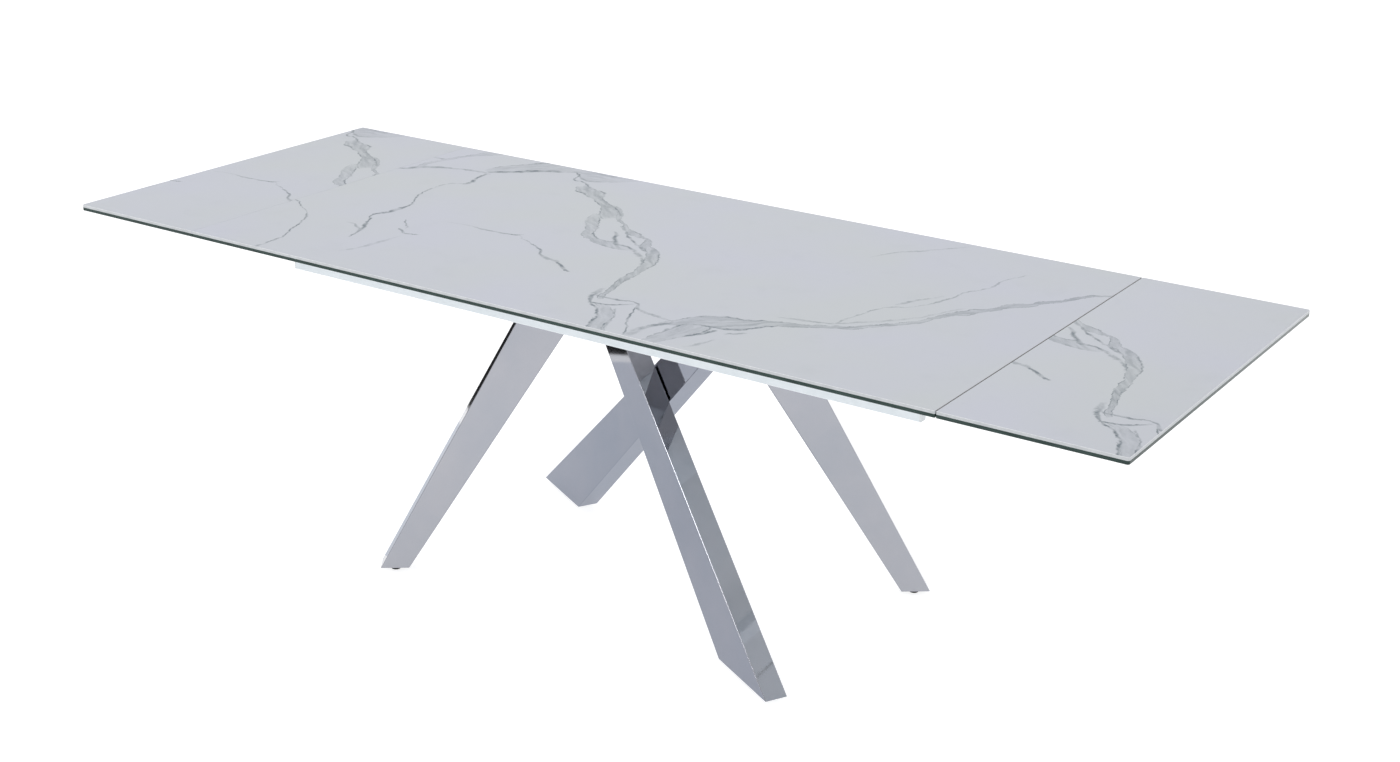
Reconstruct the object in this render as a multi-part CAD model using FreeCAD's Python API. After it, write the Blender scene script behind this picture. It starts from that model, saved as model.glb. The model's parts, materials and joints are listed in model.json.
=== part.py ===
"""Extendable dining table with two pull-out end leaves.

Millimetres, +Z up, +X along the length, +Y towards the back.  The origin is on the
floor under the centre of the table.  The table is shown with both leaves fitted.
"""
import FreeCAD, Part
import math
import os

V = FreeCAD.Vector

# ---- driving dimensions -----------------------------------------------------------
# table top
table_height = 765.0
main_length = 1800.0
table_width = 924.0
leaf_length = 350.0
seam_gap = 2.0
ceramic_thickness = 6.0
glass_thickness = 7.0
edge_chamfer = 1.0
seam_corner_radius = 1.5
end_corner_radius = 5.0

# under-frame of rectangular tube
rail_setback = 184.0
rail_end_inset = 121.0
rail_width = 20.0
rail_height = 60.0
rail_top_gap = 37.0
rail_corner_radius = 2.5
tube_wall = 2.0
cross_rail_width = 30.0
end_cross_rail_inset = 40.0
cap_lip = 3.0
cap_plug_depth = 18.0

# main top supports, two rows standing on the side rails
support_end_inset = 179.0
disc_radius = 30.0
disc_thickness = 8.0
disc_skin = 2.0
standoff_length = 40.0
support_bolt_radius = 4.0
support_bolt_head_radius = 6.5
support_bolt_head_height = 5.0
access_hole_radius = 7.5

# leaf runners and the tubes that guide them
runner_width = 20.0
runner_height = 30.0
runner_clearance = 0.4
bush_wall = 2.6
bush_length = 60.0
bush_flange = 4.0
guide_top_gap = 9.0
runner_end_inset = 90.0
plug_length = 30.0
plug_spigot = 25.0
leaf_travel = 300.0
stop_play = 1.0
leaf_bar_width = 20.0
leaf_bar_setback = 12.0
leaf_disc_radius = 25.0
leaf_disc_inner_margin = 48.0
leaf_disc_outer_margin = 60.0
leaf_screw_radius = 3.0
leaf_screw_head_radius = 6.0
leaf_screw_head_height = 3.5

# leg mounting plates
mount_plate_thickness = 8.0
mount_plate_centre = 207.0
mount_plate_length = 240.0
mount_plate_width = 330.0
mount_bolt_radius = 5.0
mount_bolt_head_radius = 9.0
mount_bolt_head_height = 6.4
mount_bolt_end_margin = 25.0
weld_nut_radius = 9.0
weld_nut_height = 8.0

# stiffening plate screwed across the two inner leg cross rails
centre_plate_thickness = 4.0
centre_plate_side_gap = 58.0
centre_screw_radius = 3.0
centre_screw_head_radius = 6.0
centre_screw_head_height = 3.5
centre_screw_length = 14.0
centre_screw_margin = 30.0

# legs: flat blades, each in a vertical plane through or beside the centre
leg_thickness = 50.0
leg_wall = 2.0
leg_edge_radius = 1.8
slim_azimuth = 36.8
slim_crossing_gap = 96.0
slim_foot_reach = 579.0
slim_foot_width = 64.0
slim_top_reach = 207.0
slim_top_width = 124.0
broad_azimuth = -28.8
broad_crossing_gap = 2.5
broad_foot_reach = 507.0
broad_foot_width = 199.0
broad_top_reach = 217.0
broad_top_width = 122.0

# feet
foot_plate_thickness = 6.0
glide_height = 12.0
glide_shoulder_height = 4.0
glide_radius = 12.0
glide_flat_radius = 7.0
glide_stem_radius = 5.0
glide_stem_length = 30.0
glide_stem_clearance = 0.3

thread_clearance = 0.05
bolt_hole_clearance = 0.4

# ---- sizes worked out from the driving dimensions ---------------------------------
top_thickness = ceramic_thickness + glass_thickness
glass_bottom = table_height - top_thickness
half_length = main_length / 2.0
half_width = table_width / 2.0
leaf_start = half_length + seam_gap
leaf_end = leaf_start + leaf_length

rail_top = glass_bottom - rail_top_gap
rail_bottom = rail_top - rail_height
rail_outer = half_width - rail_setback
rail_inner = rail_outer - rail_width
rail_centre = rail_outer - rail_width / 2.0
rail_end = half_length - rail_end_inset
support_spacing = rail_end - support_end_inset

guide_skin = runner_clearance + bush_wall + tube_wall
guide_width = runner_width + 2 * guide_skin
guide_height = runner_height + 2 * guide_skin
guide_bottom = glass_bottom - guide_top_gap - guide_height
guide_centre_y = rail_inner - guide_width / 2.0
guide_centre_z = guide_bottom + guide_height / 2.0
guide_mouth = rail_end - bush_flange
leg_cross_rail_step = (mount_plate_length - cross_rail_width) / 2.0
guide_inner_end = mount_plate_centre + leg_cross_rail_step
cross_rail_height = guide_bottom - rail_bottom

bush_inner_end = guide_mouth - bush_length
plug_outer_end = bush_inner_end - leaf_travel - stop_play
runner_end = leaf_end - runner_end_inset
runner_top = guide_centre_z + runner_height / 2.0
runner_bottom = guide_centre_z - runner_height / 2.0

mount_plate_bottom = rail_bottom - mount_plate_thickness
inner_cross_rail_x = mount_plate_centre - leg_cross_rail_step
centre_plate_half_length = inner_cross_rail_x + cross_rail_width / 2.0
centre_plate_half_width = rail_inner - centre_plate_side_gap
leg_bottom = glide_height
leg_top = mount_plate_bottom
slim_plane_offset = (leg_thickness + slim_crossing_gap) / 2.0
broad_plane_offset = (leg_thickness + broad_crossing_gap) / 2.0

SIDES = {"left": -1, "right": 1}
ROWS = {"front": -1, "back": 1}
SAME = 1e-6
PARALLEL = 0.999


# ---- small shape helpers ----------------------------------------------------------
def block(x_range, y_range, z_range):
    """Box between two values on each axis."""
    low = V(min(x_range), min(y_range), min(z_range))
    high = V(max(x_range), max(y_range), max(z_range))
    size = high - low
    return Part.makeBox(size.x, size.y, size.z, low)


def cylinder(radius, low_z, high_z, x=0.0, y=0.0):
    """Upright cylinder between two heights."""
    return Part.makeCylinder(radius, high_z - low_z, V(x, y, low_z))


def around(centre, size):
    """Range of the given size about a centre."""
    return centre - size / 2.0, centre + size / 2.0


def edges_along(shape, axis):
    """Straight edges of the shape that run along one axis."""
    found = []
    for edge in shape.Edges:
        run = edge.Vertexes[-1].Point - edge.Vertexes[0].Point
        if run.Length > 0 and abs(run.normalize().dot(axis)) > PARALLEL:
            found.append(edge)
    return found


def edges_at_height(shape, z):
    """Edges that lie in the level plane at one height."""
    found = []
    for edge in shape.Edges:
        box = edge.BoundBox
        if abs(box.ZMin - z) < SAME and abs(box.ZMax - z) < SAME:
            found.append(edge)
    return found


def tube_along_x(x_range, centre_y, centre_z, width, height, corner_radius):
    """Rectangular tube running along X, open at both ends."""
    outer = block(x_range, around(centre_y, width), around(centre_z, height))
    outer = outer.makeFillet(corner_radius, edges_along(outer, V(1, 0, 0)))
    bore_y = around(centre_y, width - 2 * tube_wall)
    bore_z = around(centre_z, height - 2 * tube_wall)
    return outer.cut(block(x_range, bore_y, bore_z))


def save(name, shape):
    """Write one node."""
    shape.exportStep("parts/" + name + ".step")


def group(solids):
    """Separate solids kept together in one node."""
    return Part.makeCompound(solids)


# ---- table top --------------------------------------------------------------------
def panel(x_range, low_z, high_z, radii, chamfer_z):
    """Flat sheet with upright corner radii and a chamfered rim at one height.

    radii gives the corner radius at the low and at the high end of x_range.
    """
    sheet = block(x_range, (-half_width, half_width), (low_z, high_z))
    for end_x, radius in zip(x_range, radii):
        upright = edges_along(sheet, V(0, 0, 1))
        corners = [edge for edge in upright if abs(edge.Vertexes[0].X - end_x) < SAME]
        sheet = sheet.makeFillet(radius, corners)
    return sheet.makeChamfer(edge_chamfer, edges_at_height(sheet, chamfer_z))


def save_top(prefix, x_range, radii):
    """Ceramic sheet and the glass panel that it is bonded to."""
    joint_z = glass_bottom + glass_thickness
    save(prefix + "_ceramic", panel(x_range, joint_z, table_height, radii, table_height))
    save(prefix + "_glass", panel(x_range, glass_bottom, joint_z, radii, glass_bottom))


def make_table_top():
    save_top("main", (-half_length, half_length), (seam_corner_radius, seam_corner_radius))
    save_top("right_leaf", (leaf_start, leaf_end), (seam_corner_radius, end_corner_radius))
    save_top("left_leaf", (-leaf_end, -leaf_start), (end_corner_radius, seam_corner_radius))


# ---- under-frame ------------------------------------------------------------------
def support_places():
    """Plan positions of the main top supports."""
    columns = (-support_spacing, 0.0, support_spacing)
    return [(x, row * rail_centre) for row in ROWS.values() for x in columns]


def make_side_rails():
    """Side rails, drilled for the support bolts that sit inside them."""
    centre_z = (rail_bottom + rail_top) / 2.0
    for name, row in ROWS.items():
        centre_y = row * rail_centre
        rail = tube_along_x((-rail_end, rail_end), centre_y, centre_z, rail_width, rail_height,
                            rail_corner_radius)
        for x, y in support_places():
            if y != centre_y:
                continue
            hole_radius = support_bolt_radius + bolt_hole_clearance
            rail = rail.cut(cylinder(hole_radius, centre_z, rail_top, x, y))
            rail = rail.cut(cylinder(access_hole_radius, rail_bottom, centre_z, x, y))
        save("side_rail_" + name, rail)


def make_rail_end_caps():
    """Plastic caps pushed into the four ends of the side rails."""
    caps = []
    centre_z = (rail_bottom + rail_top) / 2.0
    for row in ROWS.values():
        for side in SIDES.values():
            centre_y = row * rail_centre
            face = block((side * rail_end, side * (rail_end + cap_lip)), around(centre_y, rail_width),
                         around(centre_z, rail_height))
            face = face.makeFillet(rail_corner_radius, edges_along(face, V(1, 0, 0)))
            plug = block((side * (rail_end - cap_plug_depth), side * rail_end),
                         around(centre_y, rail_width - 2 * tube_wall),
                         around(centre_z, rail_height - 2 * tube_wall))
            caps.append(face.fuse(plug).removeSplitter())
    save("rail_end_caps", group(caps))


def leg_cross_rail_places():
    """X positions of the cross rails that carry the leg mounting plates."""
    steps = (-leg_cross_rail_step, leg_cross_rail_step)
    return [side * mount_plate_centre + step for side in SIDES.values() for step in steps]


def mount_bolt_places():
    """Plan positions of the bolts through the mounting plates."""
    y = mount_plate_width / 2.0 - mount_bolt_end_margin
    return [(x, row * y) for x in leg_cross_rail_places() for row in ROWS.values()]


def centre_screw_places():
    """Plan positions of the screws through the stiffening plate."""
    inner_rails = [x for x in leg_cross_rail_places() if abs(x) < mount_plate_centre]
    y = centre_plate_half_width - centre_screw_margin
    return [(x, row * y) for x in inner_rails for row in ROWS.values()]


def cross_rail(x):
    """Rectangular tube along Y, butted between the side rails."""
    centre_z = rail_bottom + cross_rail_height / 2.0
    outer = block(around(x, cross_rail_width), (-rail_inner, rail_inner),
                  around(centre_z, cross_rail_height))
    outer = outer.makeFillet(rail_corner_radius, edges_along(outer, V(0, 1, 0)))
    bore = block(around(x, cross_rail_width - 2 * tube_wall), (-rail_inner, rail_inner),
                 around(centre_z, cross_rail_height - 2 * tube_wall))
    return outer.cut(bore)


def make_cross_rails():
    """Six cross rails; the middle four are drilled for the plates screwed to them."""
    for side_name, side in SIDES.items():
        save("end_cross_rail_" + side_name, cross_rail(side * (rail_end - end_cross_rail_inset)))
    for number, x in enumerate(leg_cross_rail_places(), start=1):
        rail = cross_rail(x)
        for bolt_x, bolt_y in mount_bolt_places():
            if bolt_x == x:
                hole = cylinder(mount_bolt_radius + bolt_hole_clearance, rail_bottom,
                                rail_bottom + tube_wall, bolt_x, bolt_y)
                rail = rail.cut(hole)
        for screw_x, screw_y in centre_screw_places():
            if screw_x == x:
                hole = cylinder(centre_screw_radius + thread_clearance, guide_bottom - tube_wall,
                                guide_bottom, screw_x, screw_y)
                rail = rail.cut(hole)
        save("leg_cross_rail_%d" % number, rail)


def make_centre_plate():
    """Stiffening plate on the two inner leg cross rails; returns its screws."""
    plate_top = guide_bottom + centre_plate_thickness
    plate = block((-centre_plate_half_length, centre_plate_half_length),
                  (-centre_plate_half_width, centre_plate_half_width), (guide_bottom, plate_top))
    screws = []
    for x, y in centre_screw_places():
        hole_radius = centre_screw_radius + bolt_hole_clearance
        plate = plate.cut(cylinder(hole_radius, guide_bottom, plate_top, x, y))
        shank = cylinder(centre_screw_radius, plate_top - centre_screw_length, plate_top, x, y)
        head_top = plate_top + centre_screw_head_height
        head = cylinder(centre_screw_head_radius, plate_top, head_top, x, y)
        screws.append(shank.fuse(head).removeSplitter())
    save("centre_plate", plate)
    return screws


def make_top_supports():
    """Stand-offs on the side rails, discs bonded under the glass, and their bolts."""
    disc_bottom = glass_bottom - disc_thickness
    thread_end = glass_bottom - disc_skin
    thread_radius = support_bolt_radius + thread_clearance
    head_top = rail_top - tube_wall
    head_bottom = head_top - support_bolt_head_height
    discs = []
    bolts = []
    for number, (x, y) in enumerate(support_places(), start=1):
        outer = block(around(x, standoff_length), around(y, rail_width), (rail_top, disc_bottom))
        bore = block(around(x, standoff_length - 2 * tube_wall), around(y, rail_width - 2 * tube_wall),
                     (rail_top, disc_bottom))
        save("top_standoff_%d" % number, outer.cut(bore))
        disc = cylinder(disc_radius, disc_bottom, glass_bottom, x, y)
        discs.append(disc.cut(cylinder(thread_radius, disc_bottom, thread_end, x, y)))
        shank = cylinder(support_bolt_radius, head_top, thread_end, x, y)
        head = cylinder(support_bolt_head_radius, head_bottom, head_top, x, y)
        bolts.append(shank.fuse(head).removeSplitter())
    save("main_bonded_discs", group(discs))
    save("main_support_bolts", group(bolts))


# ---- leaf runners -----------------------------------------------------------------
def make_guides():
    """Guide tubes on the cross rails, with a plastic bush in each mouth."""
    for side_name, side in SIDES.items():
        for row_name, row in ROWS.items():
            centre_y = row * guide_centre_y
            guide = tube_along_x((side * guide_inner_end, side * guide_mouth), centre_y,
                                 guide_centre_z, guide_width, guide_height, rail_corner_radius)
            save("guide_tube_%s_%s" % (side_name, row_name), guide)
            sleeve = block((side * bush_inner_end, side * guide_mouth),
                           around(centre_y, guide_width - 2 * tube_wall),
                           around(guide_centre_z, guide_height - 2 * tube_wall))
            flange = block((side * guide_mouth, side * rail_end), around(centre_y, guide_width),
                           around(guide_centre_z, guide_height))
            bore = block((side * bush_inner_end, side * rail_end),
                         around(centre_y, runner_width + 2 * runner_clearance),
                         around(guide_centre_z, runner_height + 2 * runner_clearance))
            bush = sleeve.fuse(flange).removeSplitter().cut(bore)
            save("guide_bush_%s_%s" % (side_name, row_name), bush)


def leaf_disc_distances():
    """Distances from the table centre to the discs bonded under a leaf."""
    return leaf_start + leaf_disc_inner_margin, runner_end - leaf_disc_outer_margin


def make_runner(side, row):
    """Runner tube drilled for the screws into the leaf discs."""
    centre_y = row * guide_centre_y
    runner = tube_along_x((side * plug_outer_end, side * runner_end), centre_y, guide_centre_z,
                          runner_width, runner_height, rail_corner_radius)
    for distance in leaf_disc_distances():
        hole = cylinder(leaf_screw_radius + bolt_hole_clearance, runner_bottom, runner_top,
                        side * distance, centre_y)
        runner = runner.cut(hole)
    return runner


def make_runner_plug(side, row):
    """Plastic plug on the inner end of a runner; it stops against the bush."""
    centre_y = row * guide_centre_y
    slide_width = guide_width - 2 * tube_wall - 2 * runner_clearance
    slide_height = guide_height - 2 * tube_wall - 2 * runner_clearance
    head = block((side * (plug_outer_end - plug_length), side * plug_outer_end),
                 around(centre_y, slide_width), around(guide_centre_z, slide_height))
    spigot = block((side * plug_outer_end, side * (plug_outer_end + plug_spigot)),
                   around(centre_y, runner_width - 2 * tube_wall),
                   around(guide_centre_z, runner_height - 2 * tube_wall))
    return head.fuse(spigot).removeSplitter()


def make_leaf_fixing(side, row, distance):
    """Disc bonded under the leaf and the screw that holds it to the runner."""
    x = side * distance
    y = row * guide_centre_y
    thread_end = glass_bottom - disc_skin
    thread_radius = leaf_screw_radius + thread_clearance
    disc = cylinder(leaf_disc_radius, runner_top, glass_bottom, x, y)
    disc = disc.cut(cylinder(thread_radius, runner_top, thread_end, x, y))
    shank = cylinder(leaf_screw_radius, runner_bottom, thread_end, x, y)
    head_bottom = runner_bottom - leaf_screw_head_height
    head = cylinder(leaf_screw_head_radius, head_bottom, runner_bottom, x, y)
    return disc, shank.fuse(head).removeSplitter()


def make_leaf_bar(side):
    """Rectangular tube that ties the outer ends of a leaf's two runners together."""
    centre_x = side * (runner_end - leaf_bar_setback - leaf_bar_width / 2.0)
    reach = guide_centre_y - runner_width / 2.0
    bar = block(around(centre_x, leaf_bar_width), (-reach, reach), (runner_bottom, runner_top))
    bar = bar.makeFillet(rail_corner_radius, edges_along(bar, V(0, 1, 0)))
    bore = block(around(centre_x, leaf_bar_width - 2 * tube_wall), (-reach, reach),
                 (runner_bottom + tube_wall, runner_top - tube_wall))
    return bar.cut(bore)


def make_leaf_carriers():
    """Everything under the leaves that moves with them."""
    for side_name, side in SIDES.items():
        plugs = []
        discs = []
        screws = []
        for row_name, row in ROWS.items():
            save("%s_runner_%s" % (side_name, row_name), make_runner(side, row))
            plugs.append(make_runner_plug(side, row))
            for distance in leaf_disc_distances():
                disc, screw = make_leaf_fixing(side, row, distance)
                discs.append(disc)
                screws.append(screw)
        save(side_name + "_runner_plugs", group(plugs))
        save(side_name + "_leaf_discs", group(discs))
        save(side_name + "_leaf_screws", group(screws))
        save(side_name + "_leaf_bar", make_leaf_bar(side))


# ---- legs -------------------------------------------------------------------------
def hexagon(radius, low_z, high_z, x, y):
    """Upright hexagonal prism."""
    corners = []
    for degrees in range(0, 361, 60):
        angle = math.radians(degrees)
        corners.append(V(x + radius * math.cos(angle), y + radius * math.sin(angle), low_z))
    return Part.Face(Part.makePolygon(corners)).extrude(V(0, 0, high_z - low_z))


def make_mounting_plates():
    """Plates under the cross rails, with weld nuts; returns their hexagon bolts."""
    bolts = []
    nuts = []
    nut_bottom = rail_bottom + tube_wall
    nut_top = nut_bottom + weld_nut_height
    for side_name, side in SIDES.items():
        plate = block(around(side * mount_plate_centre, mount_plate_length),
                      around(0, mount_plate_width), (mount_plate_bottom, rail_bottom))
        for x, y in mount_bolt_places():
            if x * side > 0:
                hole_radius = mount_bolt_radius + bolt_hole_clearance
                plate = plate.cut(cylinder(hole_radius, mount_plate_bottom, rail_bottom, x, y))
        save("leg_mount_plate_" + side_name, plate)
    for x, y in mount_bolt_places():
        head = hexagon(mount_bolt_head_radius, mount_plate_bottom - mount_bolt_head_height,
                       mount_plate_bottom, x, y)
        shank = cylinder(mount_bolt_radius, mount_plate_bottom, nut_top, x, y)
        bolts.append(head.fuse(shank).removeSplitter())
        nut = hexagon(weld_nut_radius, nut_bottom, nut_top, x, y)
        nuts.append(nut.cut(cylinder(mount_bolt_radius + thread_clearance, nut_bottom, nut_top, x, y)))
    save("mount_plate_weld_nuts", group(nuts))
    return bolts


def blade(foot_centre, foot_width, top_centre, top_width, inset, z_range):
    """Flat four-sided blade in the XZ plane, thick along Y, centred on Y = 0.

    The centres and widths are measured level, at the foot and at the top of the leg.
    inset pulls all four long faces inwards by that distance.
    """
    height = leg_top - leg_bottom
    corners = []
    for z in z_range:
        share = (z - leg_bottom) / height
        ends = []
        for edge in (-0.5, 0.5):
            foot_x = foot_centre + edge * foot_width
            top_x = top_centre + edge * top_width
            slant = math.hypot(top_x - foot_x, height) / height
            ends.append(V(foot_x + share * (top_x - foot_x) - 2 * edge * inset * slant, 0, z))
        corners.append(ends)
    low, high = corners
    outline = Part.makePolygon([low[0], low[1], high[1], high[0], low[0]])
    thickness = leg_thickness - 2 * inset
    face = Part.Face(outline)
    face.translate(V(0, -thickness / 2, 0))
    return face.extrude(V(0, thickness, 0))


def make_leg(kind):
    """Leg shell and foot plate in the leg's own plane."""
    outer = blade(*kind, 0.0, (leg_bottom, leg_top))
    long_edges = [e for e in outer.Edges if e.BoundBox.ZLength > (leg_top - leg_bottom) / 2]
    outer = outer.makeFillet(leg_edge_radius, long_edges)
    past_ends = (leg_bottom - leg_wall, leg_top + leg_wall)
    hollow = blade(*kind, leg_wall, past_ends)
    plate_top = leg_bottom + foot_plate_thickness
    inside = blade(*kind, leg_wall, (leg_bottom, plate_top))
    hole = cylinder(glide_stem_radius + glide_stem_clearance, leg_bottom, plate_top, kind[0], 0)
    return outer.cut(hollow), inside.cut(hole)


def make_glide(x):
    """Domed levelling glide with its threaded stem."""
    stem_top = glide_height + glide_stem_length
    flat_edge = V(glide_flat_radius, 0, 0)
    shoulder = V(glide_radius, 0, glide_shoulder_height)
    middle = math.sqrt(0.5)
    bulge_x = glide_flat_radius + middle * (glide_radius - glide_flat_radius)
    bulge = V(bulge_x, 0, (1 - middle) * glide_shoulder_height)
    profile = [shoulder, V(glide_radius, 0, glide_height), V(glide_stem_radius, 0, glide_height),
               V(glide_stem_radius, 0, stem_top), V(0, 0, stem_top), V(0, 0, 0), flat_edge]
    edges = [Part.makeLine(start, end) for start, end in zip(profile, profile[1:])]
    edges.append(Part.Arc(flat_edge, bulge, shoulder).toShape())
    glide = Part.Face(Part.Wire(edges)).revolve(V(0, 0, 0), V(0, 0, 1), 360)
    glide.translate(V(x, 0, 0))
    return glide


def place(shape, azimuth, offset, turn):
    """Move a shape from its leg's own plane into the table."""
    placed = shape.copy()
    placed.translate(V(0, offset, 0))
    placed.rotate(V(0, 0, 0), V(0, 0, 1), azimuth + turn)
    return placed


def make_legs():
    """Two slim legs and two broad legs, each pair turned half a circle apart."""
    slim = (-slim_foot_reach, slim_foot_width, -slim_top_reach, slim_top_width)
    broad = (broad_foot_reach, broad_foot_width, -broad_top_reach, broad_top_width)
    legs = {
        "front_left": (slim, slim_azimuth, slim_plane_offset, 0),
        "back_right": (slim, slim_azimuth, slim_plane_offset, 180),
        "front_right": (broad, broad_azimuth, -broad_plane_offset, 0),
        "back_left": (broad, broad_azimuth, -broad_plane_offset, 180),
    }
    for name, (kind, azimuth, offset, turn) in legs.items():
        shell, foot_plate = make_leg(kind)
        glide = make_glide(kind[0])
        save("leg_" + name, place(shell, azimuth, offset, turn))
        save("foot_plate_" + name, place(foot_plate, azimuth, offset, turn))
        save("glide_" + name, place(glide, azimuth, offset, turn))


def main():
    os.makedirs("parts", exist_ok=True)
    make_table_top()
    make_side_rails()
    make_rail_end_caps()
    make_cross_rails()
    save("frame_plate_bolts", group(make_centre_plate() + make_mounting_plates()))
    make_top_supports()
    make_guides()
    make_leaf_carriers()
    make_legs()


main()
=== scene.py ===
"""Studio scene of an extendable dining table: marbled ceramic top, painted frame, chrome legs.

Metres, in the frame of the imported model.  The vein table is in millimetres on one printed
sheet, which the three panels are cut from.
"""

import json
import math

import bpy
from mathutils import Matrix, Vector


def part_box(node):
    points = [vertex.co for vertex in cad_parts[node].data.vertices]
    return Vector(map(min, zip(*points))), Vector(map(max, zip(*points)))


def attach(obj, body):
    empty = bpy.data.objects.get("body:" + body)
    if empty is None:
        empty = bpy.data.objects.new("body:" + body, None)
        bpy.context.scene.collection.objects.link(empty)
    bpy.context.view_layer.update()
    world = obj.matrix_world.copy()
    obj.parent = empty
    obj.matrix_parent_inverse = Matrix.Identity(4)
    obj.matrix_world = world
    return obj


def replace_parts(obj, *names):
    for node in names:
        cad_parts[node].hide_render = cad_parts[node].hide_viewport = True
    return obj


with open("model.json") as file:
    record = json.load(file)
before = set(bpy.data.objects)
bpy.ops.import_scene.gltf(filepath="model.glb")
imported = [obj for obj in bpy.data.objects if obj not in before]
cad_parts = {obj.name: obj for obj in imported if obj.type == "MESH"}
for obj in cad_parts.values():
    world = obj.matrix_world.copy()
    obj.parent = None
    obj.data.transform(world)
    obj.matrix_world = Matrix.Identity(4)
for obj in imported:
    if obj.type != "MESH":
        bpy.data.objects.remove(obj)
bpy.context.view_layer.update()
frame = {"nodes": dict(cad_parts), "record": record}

MM = 0.001

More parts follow.
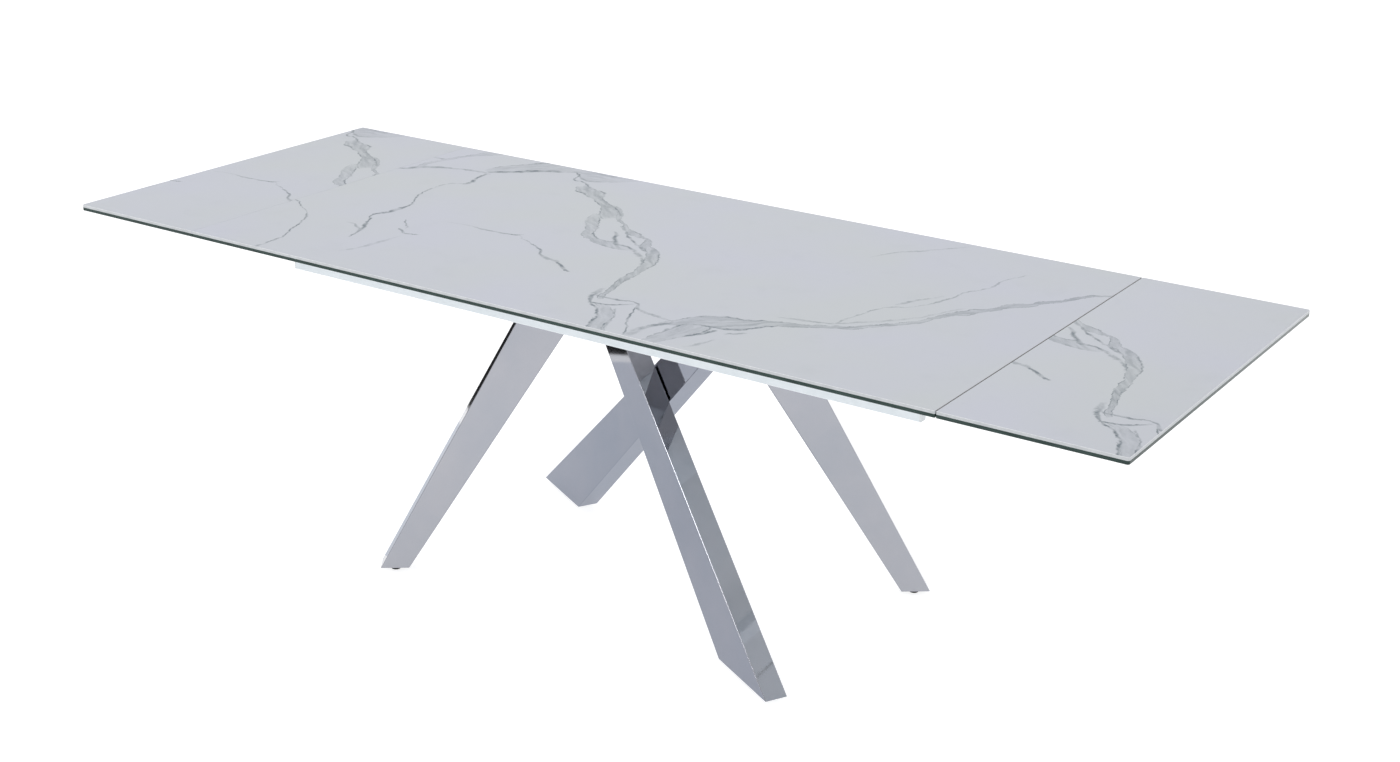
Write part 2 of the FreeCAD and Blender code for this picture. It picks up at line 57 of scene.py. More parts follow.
# ---- printed marble: (x, y, half width, strength) along each vein, in millimetres --------
VEINS = [
    # grey wedge at the back edge and its dark lower rim
    [(-555, 475, 50, .42), (-600, 435, 48, .5), (-650, 395, 36, .5), (-690, 350, 22, .5),
     (-706, 305, 10, .5)],
    [(-530, 432, 4, .5), (-560, 418, 7, .6), (-590, 402, 9, .7), (-622, 380, 12, .85),
     (-650, 352, 10, .8), (-680, 326, 10, .8), (-700, 300, 9, .7)],
    # branch to the left of the wedge
    [(-686, 292, 9, .75), (-740, 294, 7, .6), (-790, 285, 7, .5), (-840, 262, 12, .5),
     (-870, 240, 13, .55), (-892, 215, 9, .65), (-908, 200, 5, .7)],
    # branch that runs down from the wedge
    [(-700, 300, 8, .6), (-695, 275, 5, .7), (-684, 230, 6, .85), (-676, 203, 7, .85),
     (-698, 180, 6, .35), (-711, 150, 5, .3), (-713, 100, 4, .5), (-704, 60, 3, .8),
     (-688, 28, 3, .8), (-668, -12, 3, .8), (-664, -40, 6, .9), (-662, -80, 8, .9),
     (-666, -110, 7, .85), (-676, -130, 5, .85), (-660, -155, 4, .8), (-640, -190, 6, .75),
     (-622, -225, 7, .65), (-608, -260, 4, .8), (-597, -292, 3, .5)],
    [(-684, -218, 4, .3), (-662, -212, 5, .4), (-640, -228, 5, .5), (-618, -230, 4, .4)],
    # from the back edge into the big vein
    [(-545, 428, 3, .6), (-520, 420, 3, .75), (-506, 402, 3, .8), (-492, 372, 4, .85),
     (-472, 373, 4, .75), (-450, 362, 3, .75), (-432, 345, 3, .75), (-405, 328, 3, .6)],
    [(-545, 452, 12, .35), (-505, 432, 30, .48), (-470, 418, 36, .45), (-430, 426, 30, .4),
     (-390, 445, 20, .3), (-358, 464, 8, .1)],
    # big vein, before it splits
    [(-448, 345, 6, .4), (-425, 322, 22, .7), (-400, 314, 25, .75), (-370, 297, 23, .75),
     (-345, 273, 13, .8), (-320, 250, 12, .85), (-295, 229, 14, .85), (-270, 205, 22, .7),
     (-250, 184, 26, .6), (-228, 160, 18, .45)],
    # upper branch, down to the front edge
    [(-305, 246, 3, .6), (-262, 228, 5, .6), (-235, 203, 6, .5), (-215, 170, 6, .6),
     (-192, 150, 4, .85), (-150, 108, 6, .75), (-120, 90, 11, .7), (-90, 75, 6, .65),
     (-62, 62, 6, .65), (-50, 38, 9, .75), (-25, 18, 11, .75), (0, -8, 14, .75),
     (20, -40, 15, .7), (33, -80, 14, .7), (40, -120, 11, .7), (45, -160, 9, .75),
     (52, -200, 9, .9), (60, -235, 8, .95), (66, -265, 7, .85), (73, -290, 6, .75),
     (84, -312, 3, .5)],
    # lower branch that closes the loop
    [(-286, 172, 3, .5), (-264, 140, 13, .5), (-245, 110, 16, .6), (-225, 75, 13, .6),
     (-205, 42, 13, .6), (-185, 18, 12, .6), (-160, 3, 13, .6), (-130, -1, 20, .6),
     (-100, -6, 18, .6), (-75, -10, 13, .5), (-52, -8, 6, .3)],
    [(-168, 80, 3, .6), (-146, 65, 6, .7), (-135, 40, 7, .65), (-112, 12, 8, .65),
     (-80, 5, 6, .6), (-50, -8, 6, .6), (-25, -28, 8, .5), (0, -48, 6, .5), (20, -80, 5, .4),
     (32, -120, 4, .4)],
    [(-178, 122, 3, .5), (-140, 90, 4, .6), (-108, 62, 4, .6), (-75, 38, 4, .6),
     (-45, 15, 5, .6), (-18, -6, 4, .4)],
    [(-208, 62, 3, .6), (-180, 30, 3, .75), (-156, 6, 3, .6)],
    # foot of the big vein
    [(50, -250, 7, .4), (54, -288, 8, .6), (66, -315, 5, .85), (82, -338, 4, .85),
     (102, -358, 4, .9), (122, -378, 5, .9), (140, -408, 4, .9), (152, -435, 4, .9),
     (170, -475, 4, .9)],
    [(92, -338, 6, .35), (125, -358, 14, .45), (145, -386, 17, .45), (162, -415, 16, .45),
     (182, -452, 16, .45), (192, -478, 16, .45)],
    [(136, -344, 3, .5), (158, -372, 3, .6), (172, -405, 3, .7), (185, -435, 3, .7),
     (204, -476, 3, .7)],
    [(62, -294, 4, .6), (100, -298, 4, .55), (130, -294, 4, .5), (153, -291, 4, .5),
     (172, -308, 5, .5), (192, -325, 5, .5), (220, -330, 6, .45), (255, -334, 5, .45),
     (280, -346, 4, .4)],
    [(166, -302, 2, .6), (182, -340, 3, .75), (192, -372, 4, .75), (205, -400, 3, .8),
     (228, -428, 3, .8), (245, -474, 3, .7)],
    [(70, -320, 3, .7), (95, -336, 4, .8), (115, -332, 4, .6), (135, -318, 4, .65),
     (158, -302, 4, .6)],
    # long vein to the right-hand seam
    [(258, -362, 6, .3), (280, -345, 14, .5), (305, -320, 22, .65), (340, -300, 34, .7),
     (370, -285, 38, .7), (400, -268, 28, .75), (430, -248, 19, .75), (460, -232, 13, .7),
     (500, -208, 9, .7), (550, -180, 8, .85), (580, -165, 8, .9), (600, -140, 7, .7),
     (625, -105, 6, .7), (655, -70, 7, .6), (670, -30, 8, .6), (692, 10, 9, .7),
     (712, 35, 13, .8), (722, 65, 11, .8), (748, 95, 7, .75), (762, 125, 12, .8),
     (790, 150, 11, .75), (800, 180, 9, .85), (822, 210, 7, .85), (850, 252, 7, .95),
     (875, 285, 5, .85), (912, 308, 4, .6)],
    # its spread towards the front edge
    [(334, -318, 8, .4), (328, -350, 30, .62), (322, -380, 31, .62), (312, -410, 23, .55),
     (306, -440, 18, .5), (300, -482, 14, .4)],
    [(246, -474, 13, .35), (250, -430, 12, .4), (252, -400, 9, .5), (262, -375, 9, .65),
     (282, -340, 7, .6)],
    [(366, -332, 4, .5), (360, -362, 5, .9), (344, -395, 4, .8), (328, -425, 3, .6),
     (320, -452, 3, .4)],
    [(388, -346, 3, .3), (406, -330, 6, .55), (434, -308, 3, .3)],
    [(397, -378, 4, .25), (388, -418, 5, .35), (372, -452, 5, .3)],
    # faint companions on the right
    [(425, -205, 4, .2), (455, -195, 6, .3), (490, -180, 5, .38), (540, -160, 4, .3),
     (575, -128, 6, .26), (605, -95, 6, .26), (640, -50, 5, .26), (665, 0, 5, .26),
     (702, 64, 5, .3)],
    [(535, -168, 3, .3), (541, -120, 3, .42), (552, -75, 3, .42), (562, -40, 3, .42),
     (580, -15, 4, .36), (605, 5, 3, .3), (622, 35, 4, .45), (632, 75, 4, .45),
     (642, 110, 3, .45), (650, 145, 3, .42), (668, 190, 3, .42), (678, 235, 4, .42),
     (690, 290, 3, .36), (710, 338, 3, .2)],
    [(573, -4, 4, .3), (590, 35, 6, .42), (608, 75, 4, .32), (624, 114, 4, .2)],
    [(385, 235, 3, .2), (398, 290, 3, .28), (412, 315, 4, .32), (445, 350, 6, .38),
     (458, 368, 4, .25), (480, 395, 4, .32), (518, 450, 5, .2)],
    [(716, 205, 3, .3), (725, 246, 3, .3)],
    # thin veins at the front left
    [(-522, -82, 4, .15), (-450, -72, 4, .2), (-400, -76, 4, .5), (-345, -72, 4, .5),
     (-326, -68, 4, .7), (-312, -44, 4, .6)],
    [(-320, -56, 2, .4), (-300, -75, 2, .3), (-262, -92, 2, .4), (-232, -110, 3, .75),
     (-200, -135, 3, .75), (-182, -155, 5, .5), (-160, -167, 7, .5), (-130, -174, 6, .8),
     (-105, -192, 6, .8), (-88, -204, 4, .75), (-70, -212, 3, .5)],
    [(-908, -142, 2, .3), (-880, -157, 2, .7), (-862, -172, 2, .7), (-845, -181, 2, .7),
     (-820, -192, 2, .7), (-798, -210, 2, .75), (-780, -230, 3, .75), (-768, -255, 3, .75),
     (-752, -292, 3, .75), (-735, -332, 3, .75), (-718, -370, 3, .75), (-711, -410, 4, .7),
     (-708, -474, 6, .7)],
    [(-594, -116, 2, .4), (-575, -138, 3, .6), (-558, -152, 3, .5), (-545, -175, 3, .4)],
    [(-560, -180, 3, .5), (-540, -190, 5, .9), (-522, -203, 5, .9), (-502, -197, 4, .8),
     (-486, -190, 2, .3)],
    [(-515, -215, 4, .2), (-520, -250, 6, .2), (-528, -300, 8, .25), (-532, -340, 7, .25),
     (-560, -378, 5, .15)],
    # grey patch at the back left
    [(-790, 478, 18, .35), (-815, 440, 16, .4), (-840, 400, 8, .5), (-852, 375, 7, .6),
     (-858, 350, 7, .6), (-868, 300, 6, .4), (-872, 270, 8, .45), (-868, 238, 8, .4)],
    [(-908, 340, 5, .4), (-880, 340, 5, .45), (-856, 346, 4, .4)],
]
# where each panel was cut from the printed sheet
MAIN_SHIFT = 0.0
LEFT_LEAF_SHIFT = 730.0
RIGHT_LEAF_SHIFT = -1070.0
# a vein whose half width stays within this is drawn as a single line
THIN = 14.0
# how far outside a panel a vein may lie and still show on it
VEIN_MARGIN = 40.0
# full swing of the coarse, middle and fine noise that bends the veins
BEND = (26.0, 26.0, 0.0)
FRAY = (13.0, 13.0, 0.0)
GRIT = (4.0, 4.0, 0.0)
VEIN_DARKNESS = 0.88

MAIN_BASE = (0.560, 0.574, 0.640)
WARM_BASE = (0.560, 0.582, 0.606)
VEIN_COLOUR = (0.165, 0.198, 0.225)


# ---- node helpers ------------------------------------------------------------------------
def rgba(colour):
    return tuple(colour) + (1.0,)


class Tree:
    """Short calls for building a material's nodes."""

    def __init__(self, name):
        self.material = bpy.data.materials.new(name)
        self.material.use_nodes = True
        self.tree = self.material.node_tree
        self.shader = self.tree.nodes["Principled BSDF"]

    def put(self, socket, value):
        if isinstance(value, bpy.types.NodeSocket):
            self.tree.links.new(value, socket)
        else:
            socket.default_value = value

    def node(self, kind, inputs=(), **settings):
        made = self.tree.nodes.new("ShaderNode" + kind)
        for key, value in settings.items():
            setattr(made, key, value)
        for key, value in dict(inputs).items():
            self.put(made.inputs[key], value)
        return made

    def math(self, operation, *values, clamp=False):
        inputs = dict(enumerate(values))
        return self.node("Math", inputs, operation=operation, use_clamp=clamp).outputs[0]

    def vector(self, operation, *values):
        made = self.node("VectorMath", dict(enumerate(values)), operation=operation)
        return made.outputs["Value" if operation == "DOT_PRODUCT" else "Vector"]

    def ranged(self, value, low, high, to_low=0.0, to_high=1.0, smooth=False):
        inputs = {"Value": value, "From Min": low, "From Max": high,
                  "To Min": to_low, "To Max": to_high}
        kind = "SMOOTHSTEP" if smooth else "LINEAR"
        made = self.node("MapRange", inputs, interpolation_type=kind, clamp=True)
        return made.outputs["Result"]

    def noise(self, vector, scale, detail=2.0, roughness=0.5):
        inputs = {"Vector": vector, "Scale": scale, "Detail": detail, "Roughness": roughness}
        return self.node("TexNoise", inputs)

    def mix(self, share, first, second):
        made = self.node("Mix", data_type="RGBA")
        self.put(made.inputs["Factor"], share)
        for socket, value in ((made.inputs[6], first), (made.inputs[7], second)):
            self.put(socket, value if isinstance(value, bpy.types.NodeSocket) else rgba(value))
        return made.outputs[2]

    def curve(self, share, places, values):
        """Smooth curve through the values, which stand at the given places from 0 to 1."""
        made = self.node("FloatCurve", {"Value": share})
        points = made.mapping.curves[0].points
        points[0].location = (places[0], values[0])
        points[1].location = (places[-1], values[-1])
        for place, value in list(zip(places, values))[1:-1]:
            points.new(place, value)
        made.mapping.update()
        return made.outputs[0]

    def place(self, stretch=(1.0, 1.0, 1.0)):
        """The piece's own coordinates, in metres, stretched along each axis."""
        coordinates = self.node("TexCoord").outputs["Object"]
        return self.vector("MULTIPLY", coordinates, stretch)

    def bump(self, height, distance, strength=1.0):
        inputs = {"Height": height, "Distance": distance, "Strength": strength}
        self.put(self.shader.inputs["Normal"], self.node("Bump", inputs).outputs[0])


# ---- marble ------------------------------------------------------------------------------
def vein_mask(tree, spot, breaks, points):
    """Darkness of one vein at a spot on the sheet, thinned out by the breaks noise."""
    start = Vector(points[0][:2])
    end = Vector(points[-1][:2])
    along = (end - start).normalized()
    across = Vector((-along.y, along.x))
    length = (end - start).length
    travel = [(Vector(p[:2]) - start).dot(along) / length for p in points]
    offsets = [(Vector(p[:2]) - start).dot(across) for p in points]
    widths = [p[2] for p in points]
    low = min(offsets) - 1.0
    reach = max(offsets) - low + 1.0
    widest = max(widths)
    t = tree.vector("DOT_PRODUCT", spot, (along.x, along.y, 0.0))
    s = tree.vector("DOT_PRODUCT", spot, (across.x, across.y, 0.0))
    share = tree.ranged(t, start.dot(along), end.dot(along))
    centre = tree.curve(share, travel, [(offset - low) / reach for offset in offsets])
    centre = tree.math("MULTIPLY_ADD", centre, reach, low + start.dot(across))
    width = tree.curve(share, travel, [w / widest for w in widths])
    gap = tree.math("ABSOLUTE", tree.math("SUBTRACT", s, centre))
    ratio = tree.math("DIVIDE", gap, tree.math("MULTIPLY", width, widest))
    strengths = [p[3] for p in points]
    strengths[0] = 0.0
    strengths[-1] = 0.0
    strength = tree.curve(share, travel, strengths)
    if widest <= THIN:
        body = tree.ranged(ratio, 0.2, 1.15, 1.15, 0.0, smooth=True)
        return tree.math("MULTIPLY", tree.math("MULTIPLY", body, breaks), strength)
    # a wide vein is a pale fill with fine lines along it, between two darker rims
    along_vein = tree.node("CombineXYZ", {0: tree.math("MULTIPLY", t, 0.014),
                                          1: tree.math("MULTIPLY", s, 0.085),
                                          2: start.x}).outputs[0]
    lines = tree.ranged(tree.noise(along_vein, 1.0, 4.0, 0.6).outputs[0], 0.38, 0.66, 0.18, 0.85)
    fill = tree.math("MULTIPLY", tree.ranged(ratio, 0.85, 1.1, 1.0, 0.0, smooth=True), lines)
    off_rim = tree.math("ABSOLUTE", tree.math("SUBTRACT", ratio, 0.92))
    rim = tree.ranged(off_rim, 0.0, 0.2, 1.25, 0.0, smooth=True)
    rim = tree.math("MULTIPLY", rim, breaks)
    return tree.math("MULTIPLY", tree.math("MAXIMUM", fill, rim), strength)


def in_range(points, low, high):
    return min(p[0] for p in points) < high and max(p[0] for p in points) > low


def make_marble(name, shift, low_x, high_x):
    """Glazed ceramic print; shift is the panel's place on the sheet, in millimetres.

    The panel runs from low_x to high_x, in metres, and only veins that reach it are drawn.
    """
    tree = Tree(name)
    own = tree.vector("MULTIPLY", tree.place(), (1 / MM, 1 / MM, 0.0))
    sheet = tree.vector("ADD", own, (shift, 0.0, 0.0))
    coarse = tree.noise(sheet, 0.012, 3.0).outputs["Color"]
    fine = tree.noise(sheet, 0.07, 3.0, 0.6).outputs["Color"]
    grit = tree.noise(sheet, 0.3, 2.0, 0.6).outputs["Color"]
    middle = (0.5, 0.5, 0.5)
    bend = tree.vector("MULTIPLY", tree.vector("SUBTRACT", coarse, middle), BEND)
    fray = tree.vector("MULTIPLY", tree.vector("SUBTRACT", fine, middle), FRAY)
    rough = tree.vector("MULTIPLY", tree.vector("SUBTRACT", grit, middle), GRIT)
    spot = tree.vector("ADD", tree.vector("ADD", sheet, bend), tree.vector("ADD", fray, rough))
    breaks = tree.ranged(tree.noise(sheet, 0.035, 4.0, 0.65).outputs[0], 0.38, 0.62, 0.3, 1.5)
    first_x = low_x / MM + shift - VEIN_MARGIN
    last_x = high_x / MM + shift + VEIN_MARGIN
    total = None
    for points in VEINS:
        if not in_range(points, first_x, last_x):
            continue
        mask = vein_mask(tree, spot, breaks, points)
        total = mask if total is None else tree.math("MAXIMUM", total, mask)
    cloud = tree.ranged(tree.noise(sheet, 0.0028, 2.0).outputs[0], 0.35, 0.65)
    base = tree.mix(cloud, MAIN_BASE, WARM_BASE)
    haze = tree.ranged(tree.noise(spot, 0.009, 5.0, 0.65).outputs[0], 0.55, 0.8, 0.0, 0.06)
    base = tree.mix(haze, base, VEIN_COLOUR)
    darkness = tree.math("MULTIPLY", total, VEIN_DARKNESS, clamp=True)
    colour = tree.mix(darkness, base, VEIN_COLOUR)
    tree.put(tree.shader.inputs["Base Color"], colour)
    grain = tree.noise(own, 0.9, 2.0).outputs[0]
    tree.put(tree.shader.inputs["Roughness"], tree.ranged(grain, 0.3, 0.7, 0.40, 0.50))
    tree.shader.inputs["Specular IOR Level"].default_value = 0.42
    tree.bump(grain, 0.00003, 0.5)
    return tree.material


# ---- other finishes ----------------------------------------------------------------------
def make_finish(name, first, second, colour_scale, roughness, bump_scale, bump_depth,
                metallic=0.0, specular=0.5, stretch=(1.0, 1.0, 1.0)):
    """Two close tones broken up by noise, with matching roughness and a fine surface grain."""
    tree = Tree(name)
    spot = tree.place(stretch)
    tone = tree.noise(spot, colour_scale, 4.0, 0.6).outputs[0]
    share = tree.ranged(tone, 0.3, 0.7)
    tree.put(tree.shader.inputs["Base Color"], tree.mix(share, first, second))
    tree.put(tree.shader.inputs["Roughness"], tree.ranged(tone, 0.3, 0.7, *roughness))
    tree.shader.inputs["Metallic"].default_value = metallic
    tree.shader.inputs["Specular IOR Level"].default_value = specular
    tree.bump(tree.noise(spot, bump_scale, 2.0).outputs[0], bump_depth)
    return tree.material


MAIN_END = 0.9
LEAF_START = 0.902
LEAF_END = 1.252
marble_main = make_marble("marble_main", MAIN_SHIFT, -MAIN_END, MAIN_END)
marble_left = make_marble("marble_left_leaf", LEFT_LEAF_SHIFT, -LEAF_END, -LEAF_START)
marble_right = make_marble("marble_right_leaf", RIGHT_LEAF_SHIFT, LEAF_START, LEAF_END)
ceramic_body = make_finish("ceramic_body", (0.50, 0.52, 0.54), (0.60, 0.62, 0.64), 60.0,
                           (0.45, 0.62), 900.0, 0.00004)
# painted highlight: a lighter copy of the ceramic body, for the upward-facing rim
ceramic_bevel_highlight = make_finish("ceramic_bevel_highlight", (0.72, 0.73, 0.75), (0.78, 0.79, 0.81), 60.0,
                            (0.30, 0.42), 900.0, 0.00003)
glass_edge = make_finish("glass_edge", (0.014, 0.031, 0.027), (0.042, 0.074, 0.066), 30.0,
                         (0.14, 0.26), 120.0, 0.00003, specular=0.25, stretch=(1, 1, 8))
glass_back = make_finish("glass_back", (0.70, 0.73, 0.75), (0.75, 0.78, 0.79), 3.0,
                         (0.06, 0.12), 40.0, 0.00002, specular=0.55)
# dark rubber, which also stands in for painted shade in the seam's gap
seal_rubber_gap_shade = make_finish("seal_rubber_gap_shade", (0.050, 0.038, 0.032), (0.085, 0.068, 0.058), 150.0,
                          (0.55, 0.75), 1400.0, 0.00005)
white_paint = make_finish("white_paint", (0.72, 0.77, 0.80), (0.80, 0.84, 0.87), 25.0,
                          (0.30, 0.42), 650.0, 0.00006)
leg_chrome = make_finish("leg_chrome", (0.36, 0.375, 0.415), (0.41, 0.41, 0.44), 4.0,
                         (0.03, 0.07), 6.0, 0.00012, metallic=1.0)
grey_paint = make_finish("grey_paint", (0.56, 0.56, 0.58), (0.64, 0.64, 0.66), 60.0,
                         (0.30, 0.45), 700.0, 0.00005)
# painted dark reflection: the finish of a card that only reflections see
dark_reflection_card = make_finish("dark_reflection_card", (0.004, 0.004, 0.005), (0.008, 0.008, 0.009), 6.0,
                         (0.80, 0.90), 300.0, 0.00005, specular=0.1)
white_plastic = make_finish("white_plastic", (0.66, 0.69, 0.70), (0.74, 0.76, 0.77), 80.0,
                            (0.42, 0.55), 1200.0, 0.00005)
black_plastic = make_finish("black_plastic", (0.012, 0.012, 0.013), (0.030, 0.030, 0.031),
                            90.0, (0.55, 0.75), 1500.0, 0.00005, specular=0.2)
steel = make_finish("steel", (0.40, 0.41, 0.42), (0.52, 0.53, 0.54), 140.0, (0.22, 0.38),
                    1200.0, 0.00003, metallic=1.0)
zinc = make_finish("zinc", (0.46, 0.47, 0.45), (0.60, 0.60, 0.56), 220.0, (0.28, 0.46),
                   900.0, 0.00004, metallic=1.0)
FINISHES = {"white_paint": white_paint, "leg_chrome": leg_chrome, "steel": steel, "zinc": zinc,
            "white_plastic": white_plastic, "black_plastic": black_plastic,
            "grey_paint": grey_paint}


# ---- panels ------------------------------------------------------------------------------
CORNER_STEPS = 8
RIM_STEPS = 4
SHARP_ANGLE = math.radians(35)


def rounded_outline(low, high, left_radius, right_radius, inset):
    """Corner-rounded rectangle, anticlockwise, pulled in by inset."""
    corners = [(high.x, low.y, right_radius, -90), (high.x, high.y, right_radius, 0),
               (low.x, high.y, left_radius, 90), (low.x, low.y, left_radius, 180)]
    outline = []
    for x, y, radius, first in corners:
        toward_x = -1 if x == high.x else 1
        toward_y = -1 if y == high.y else 1
        centre = (x + toward_x * radius, y + toward_y * radius)
        for step in range(CORNER_STEPS + 1):
            angle = math.radians(first + 90 * step / CORNER_STEPS)
            outline.append((centre[0] + (radius - inset) * math.cos(angle),
                            centre[1] + (radius - inset) * math.sin(angle)))
    return outline


def slab_mesh(name, low, high, radii, depth, rim_up):
    """Closed slab with one rounded rim: the upper one if rim_up, else the lower one."""
    rings = [(0.0, low.z if rim_up else high.z)]
    for step in range(RIM_STEPS + 1):
        angle = math.radians(90 * step / RIM_STEPS)
        inset = depth * (1 - math.cos(angle))
        drop = depth * (1 - math.sin(angle))
        rings.append((inset, high.z - drop if rim_up else low.z + drop))
    vertices = []
    for inset, z in rings:
        vertices += [(x, y, z) for x, y in rounded_outline(low, high, *radii, inset)]
    count = len(vertices) // len(rings)
    faces = [tuple(range(count))[::-1]]
    for ring in range(len(rings) - 1):
        for i in range(count):
            j = (i + 1) % count
            faces.append((ring * count + i, ring * count + j,
                          (ring + 1) * count + j, (ring + 1) * count + i))
    last = (len(rings) - 1) * count
    faces.append(tuple(range(last, last + count)))
    if not rim_up:
        faces = [face[::-1] for face in faces]
    mesh = bpy.data.meshes.new(name)
    mesh.from_pydata(vertices, [], faces)
    for polygon in mesh.polygons:
        polygon.use_smooth = True
    mesh.set_sharp_from_angle(angle=SHARP_ANGLE)
    return mesh


def add_piece(name, mesh, body):
    piece = bpy.data.objects.new(name, mesh)
    bpy.context.scene.collection.objects.link(piece)
    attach(piece, body)
    return piece


SEAM_RADIUS = 0.0015
END_RADIUS = 0.005
CERAMIC_RIM = 0.0009
GLASS_RIM = 0.0004
LEFT_SEAM = 0.0005
# share of the ceramic's rim that is kept along the close seam
SEAM_RIM_SHARE = 0.2
# a face is flat where its normal's upright part is over the first, bevel over the second
FLAT_NORMAL = 0.97
BEVEL_NORMAL = 0.1
# each panel's body, its left and right corner radii, and its print
PANELS = {
    "main": ("table", (SEAM_RADIUS, SEAM_RADIUS), marble_main),
    "left_leaf": ("left_leaf", (END_RADIUS, SEAM_RADIUS), marble_left),
    "right_leaf": ("right_leaf", (SEAM_RADIUS, END_RADIUS), marble_right),
}
main_left_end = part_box("main_ceramic")[0].x


def panel_box(prefix, kind):
    """Box of a panel; the left leaf reaches to a close seam against the main top."""
    low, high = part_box(prefix + "_" + kind)
    if prefix == "left_leaf":
        high.x = main_left_end - LEFT_SEAM
    return low, high


def soften_left_seam(mesh, seam_x):
    """Pulls the rim along the close seam out to a fine arris."""
    reach = CERAMIC_RIM * 1.01  # a little over the rim, for rounding
    for vertex in mesh.vertices:
        if abs(vertex.co.x - seam_x) < reach:
            vertex.co.x = seam_x + SEAM_RIM_SHARE * (vertex.co.x - seam_x)


for prefix, (body, radii, marble) in PANELS.items():
    low, high = panel_box(prefix, "ceramic")
    mesh = slab_mesh(prefix + "_ceramic_sheet", low, high, radii, CERAMIC_RIM, True)
    for finish in (marble, ceramic_body, ceramic_bevel_highlight):
        mesh.materials.append(finish)
    seam_x = {"main": low.x, "left_leaf": high.x}.get(prefix)
    seam_zone = 2 * CERAMIC_RIM
    for polygon in mesh.polygons:
        at_close_seam = seam_x is not None and abs(polygon.center.x - seam_x) < seam_zone
        at_open_seam = prefix == "main" and polygon.center.x > high.x - seam_zone
        if abs(polygon.normal.z) > FLAT_NORMAL or at_close_seam:
            polygon.material_index = 0
        # painted highlight: the upward rim gets the lighter copy of the body, except at the main
        # top's open seam
        elif polygon.normal.z > BEVEL_NORMAL and not at_open_seam:
            polygon.material_index = 2
        else:
            polygon.material_index = 1
    if seam_x is not None:
        soften_left_seam(mesh, seam_x)
    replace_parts(add_piece(mesh.name, mesh, body), prefix + "_ceramic")

    low, high = panel_box(prefix, "glass")
    mesh = slab_mesh(prefix + "_glass_sheet", low, high, radii, GLASS_RIM, False)
    mesh.materials.append(glass_back)
    mesh.materials.append(glass_edge)
    for polygon in mesh.polygons:
        polygon.material_index = 0 if abs(polygon.normal.z) > FLAT_NORMAL else 1
    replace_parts(add_piece(mesh.name, mesh, body), prefix + "_glass")

# rubber seal along the right-hand leaf's inner edge; its dark colour also paints the shade in
# the gap between leaf and top
SEAL_WIDTH = 0.0017
SEAL_END_GAP = 0.004
SEAL_LIFT = 0.0015
SEAL_DROP = 0.0004
SEAL_RADIUS = 0.0004
SEAL_RIM = 0.0003
leaf_low, leaf_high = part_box("right_leaf_ceramic")
glass_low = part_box("right_leaf_glass")[0]
seal_low = Vector((leaf_low.x - SEAL_WIDTH, leaf_low.y + SEAL_END_GAP, glass_low.z + SEAL_LIFT))
seal_high = Vector((leaf_low.x, leaf_high.y - SEAL_END_GAP, leaf_high.z - SEAL_DROP))
mesh = slab_mesh("right_leaf_seal_gap_shade", seal_low, seal_high, (SEAL_RADIUS, SEAL_RADIUS), SEAL_RIM,
                 True)
mesh.materials.append(seal_rubber_gap_shade)
add_piece(mesh.name, mesh, "right_leaf")

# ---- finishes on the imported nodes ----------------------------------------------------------
slot_of = {part["node"]: part["material_slot"] for part in frame["record"]["subparts"]}
for name, node in frame["nodes"].items():
    finish = FINISHES.get(slot_of.get(name))
    if finish is None:
        continue
    node.data.materials.clear()
    node.data.materials.append(finish)

# ---- studio ------------------------------------------------------------------------------
scene = bpy.context.scene
scene.view_settings.view_transform = "Standard"

FLOOR_SIZE = 60.0
FLOOR_GLOW = 0.80
DARK_REFLECTION_CARD_HEIGHT = 0.003
SHADE_HEIGHT = 0.002
SHADE_GLOW = 0.62
WORLD_STRENGTH = 0.78

mesh = bpy.data.meshes.new("floor")
half = FLOOR_SIZE / 2
mesh.from_pydata([(-half, -half, 0), (half, -half, 0), (half, half, 0), (-half, half, 0)], [],
                 [(0, 1, 2, 3)])
floor = bpy.data.objects.new("floor", mesh)
scene.collection.objects.link(floor)
floor_tree = Tree("floor")
floor_tone = floor_tree.ranged(floor_tree.noise(floor_tree.place(), 0.6, 3.0).outputs[0],
                               0.3, 0.7)
floor_tree.put(floor_tree.shader.inputs["Base Color"],
               floor_tree.mix(floor_tone, (0.42, 0.42, 0.43), (0.45, 0.45, 0.46)))
floor_tree.shader.inputs["Roughness"].default_value = 0.9
floor_tree.shader.inputs["Specular IOR Level"].default_value = 0.0
floor_tree.shader.inputs["Emission Color"].default_value = (1.0, 1.0, 1.0, 1.0)
floor_tree.shader.inputs["Emission Strength"].default_value = FLOOR_GLOW
mesh.materials.append(floor_tree.material)


def add_card(name, outline, height, finish):
    """Flat sheet just above the floor that only reflections see; it is a painted reflection."""
    mesh = bpy.data.meshes.new(name)
    mesh.from_pydata([(x, y, height) for x, y in outline], [], [tuple(range(len(outline)))])
    mesh.materials.append(finish)
    card = bpy.data.objects.new(name, mesh)
    card.visible_camera = False
    card.visible_diffuse = False
    card.visible_shadow = False
    scene.collection.objects.link(card)
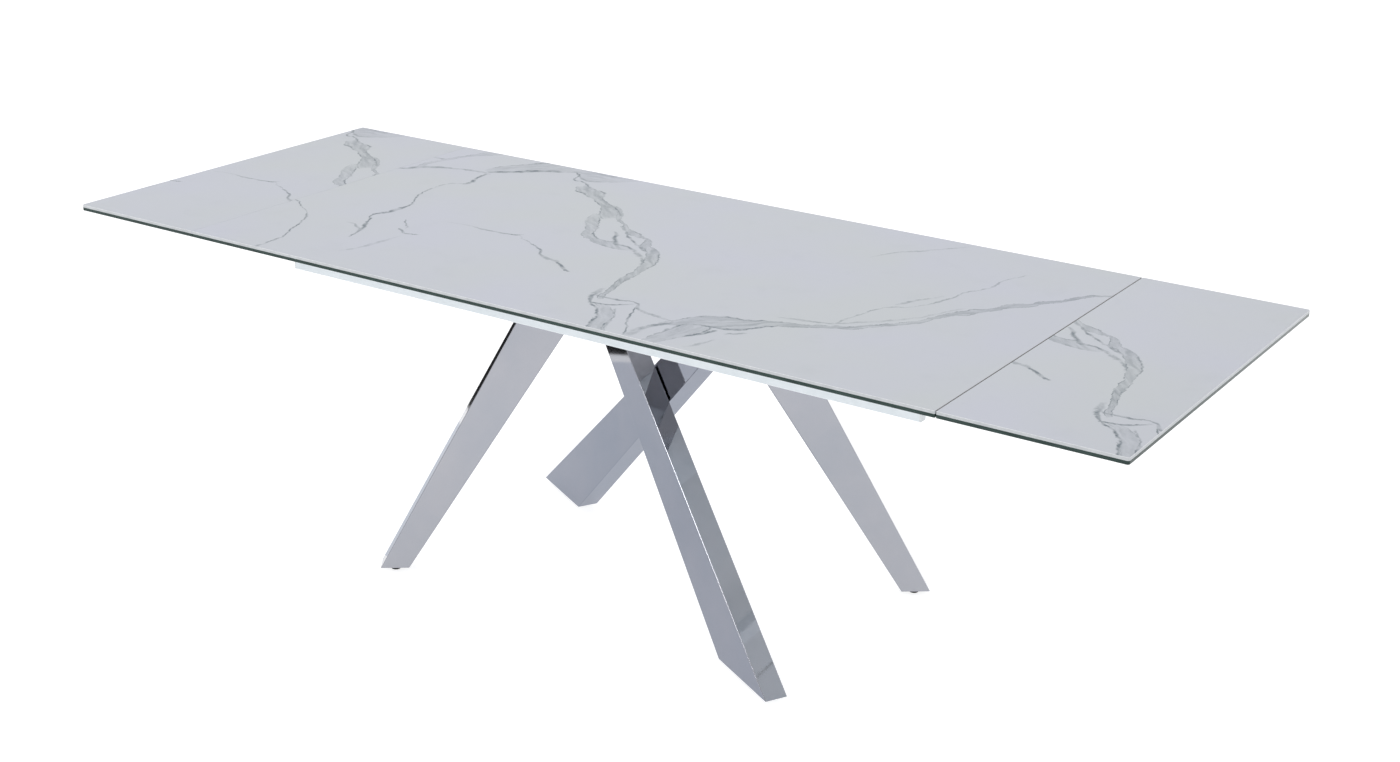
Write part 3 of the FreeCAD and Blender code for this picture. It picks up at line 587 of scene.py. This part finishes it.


# painted reflections: a dark card on the left of the floor paints a dark reflection into the
# legs, and painted shade lies on the floor under the table; only reflections see either
DARK_REFLECTION_CARD_OUTLINE = ((-7.0, -1.5), (-1.35, -1.5), (-2.1, 6.0), (-7.0, 6.0))
add_card("dark_reflection_card", DARK_REFLECTION_CARD_OUTLINE, DARK_REFLECTION_CARD_HEIGHT, dark_reflection_card)
shade = make_finish("floor_shade", (0.30, 0.31, 0.33), (0.33, 0.34, 0.36), 1.2,
                    (0.85, 0.95), 40.0, 0.0001, specular=0.0)
shade_shader = shade.node_tree.nodes["Principled BSDF"]
shade_shader.inputs["Emission Color"].default_value = (0.84, 0.88, 0.97, 1.0)
shade_shader.inputs["Emission Strength"].default_value = SHADE_GLOW
SHADE_OUTLINE = ((-1.45, -0.2), (0.0, -0.29), (0.55, -0.48), (0.62, -0.2), (0.1, 0.0),
                 (0.1, 0.7), (-1.45, 0.7))
add_card("floor_shade", SHADE_OUTLINE, SHADE_HEIGHT, shade)

world = bpy.data.worlds.new("studio")
world.use_nodes = True
background = world.node_tree.nodes["Background"]
background.inputs["Color"].default_value = (0.98, 0.99, 1.0, 1.0)
background.inputs["Strength"].default_value = WORLD_STRENGTH
scene.world = world


def add_light(name, place, target, size, power):
    light = bpy.data.lights.new(name, "AREA")
    light.shape = "RECTANGLE"
    light.size, light.size_y = size
    light.energy = power
    lamp = bpy.data.objects.new(name, light)
    lamp.location = place
    lamp.rotation_euler = (Vector(target) - Vector(place)).to_track_quat("-Z", "Y").to_euler()
    scene.collection.objects.link(lamp)
    return lamp


add_light("softbox_top", (0.0, 0.6, 4.6), (0.0, 0.0, 0.7), (4.5, 3.0), 42.0)
add_light("softbox_left", (-4.2, -2.6, 2.2), (0.0, 0.0, 0.4), (2.4, 2.0), 22.0)
# a light for the legs' edges, which only gloss and reflections see
edge_light = add_light("edge_light", (-1.54, -2.9, 2.7), (0.1, -0.1, 0.35), (1.6, 1.6), 75.0)
edge_light.visible_diffuse = False

# ---- camera ------------------------------------------------------------------------------
YAW = math.radians(-33.251)
PITCH = math.radians(20.756)
ROLL = math.radians(0.969)
CAMERA_PLACE = (2.3126, -3.3482, 2.0206)
FOCAL_LENGTH = 51.715
SENSOR_WIDTH = 36.0
forward = Vector((math.sin(YAW) * math.cos(PITCH), math.cos(YAW) * math.cos(PITCH),
                  -math.sin(PITCH)))
right = forward.cross(Vector((0, 0, 1))).normalized()
up = right.cross(forward)
rolled_right = math.cos(ROLL) * right + math.sin(ROLL) * up
rolled_up = math.cos(ROLL) * up - math.sin(ROLL) * right
lens = bpy.data.cameras.new("camera")
lens.lens = FOCAL_LENGTH
lens.sensor_width = SENSOR_WIDTH
camera = bpy.data.objects.new("camera", lens)
turn = Matrix((rolled_right, rolled_up, -forward)).transposed()
camera.matrix_world = Matrix.Translation(CAMERA_PLACE) @ turn.to_4x4()
scene.collection.objects.link(camera)
scene.camera = camera
